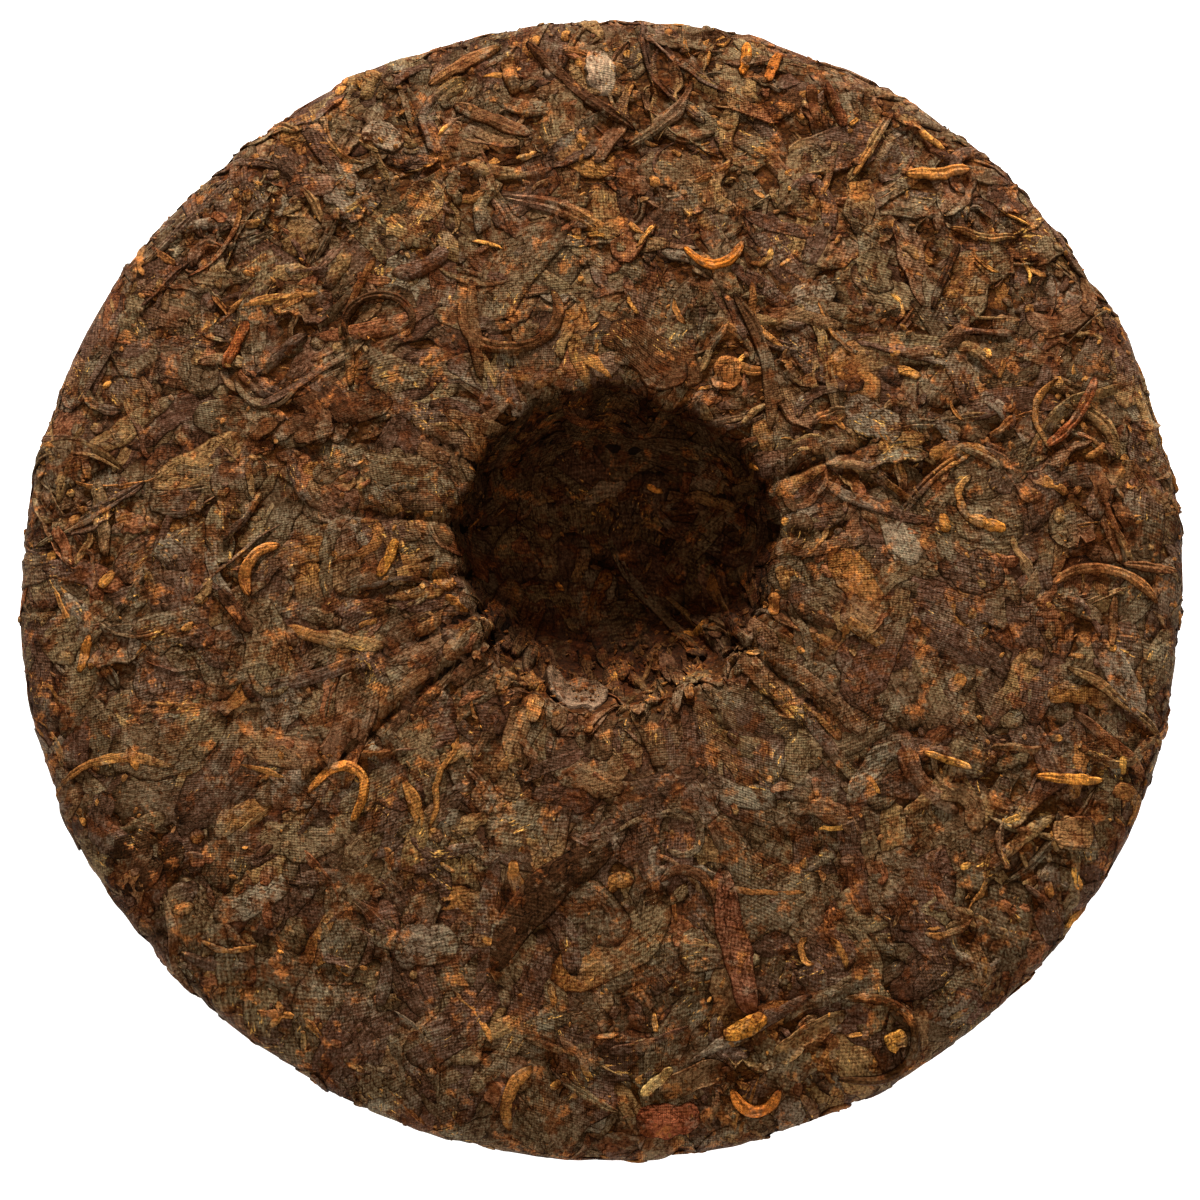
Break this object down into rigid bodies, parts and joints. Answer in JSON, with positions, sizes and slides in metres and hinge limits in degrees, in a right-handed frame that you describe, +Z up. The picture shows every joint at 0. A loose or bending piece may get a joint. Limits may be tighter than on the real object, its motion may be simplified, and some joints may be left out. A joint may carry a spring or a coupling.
{
  "type": "pu erh tea cake",
  "caption": "Round cake of pressed dark tea leaf with a gently domed back that slopes to a thin edge, creased round a deep off-centre hollow.",
  "frame": {"origin": "on the table, under the middle of the cake's bounding box", "axes": "+Z up out of the hollow, +Y towards the steepest wall of the hollow, +X to the right seen from above"},
  "size_m": [0.2012, 0.2, 0.0259],
  "materials": {
    "pressed_tea": "matt pressed dry leaf"
  },
  "bodies": {
    "root": {"tea_cake": "pressed_tea"}
  },
  "joints": []
}
